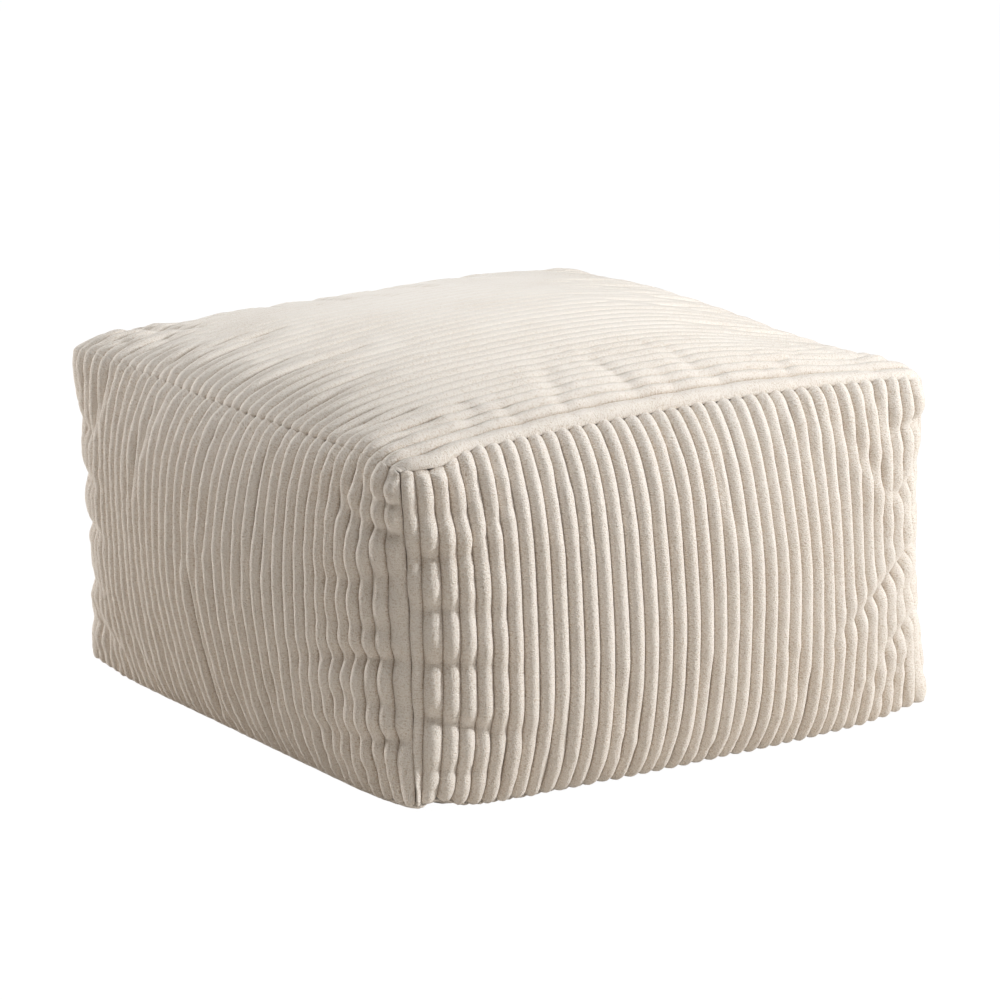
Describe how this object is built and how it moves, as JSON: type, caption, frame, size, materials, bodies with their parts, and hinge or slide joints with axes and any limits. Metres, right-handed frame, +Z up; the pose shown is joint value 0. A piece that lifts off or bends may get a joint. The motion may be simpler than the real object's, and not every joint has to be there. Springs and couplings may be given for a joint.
{
  "type": "bean bag footstool",
  "caption": "Low square bead-filled footstool in wide-wale corduroy, with a crowned top, bulging sides and drawn-in upright seams.",
  "frame": {"origin": "on the floor, at the middle of the stool's box", "axes": "+Z up; the front panel faces -Y and the left panel -X; the wales of the top run along X"},
  "size_m": [0.5936, 0.6017, 0.3291],
  "materials": {
    "corduroy": "cream wide-wale corduroy with a short matt pile",
    "filled_core": "plain cream cotton over bead filling"
  },
  "bodies": {
    "root": {"top_panel": "corduroy", "front_panel": "corduroy", "right_panel": "corduroy", "back_panel": "corduroy", "left_panel": "corduroy", "base_panel": "corduroy", "filled_body": "filled_core"}
  },
  "joints": []
}
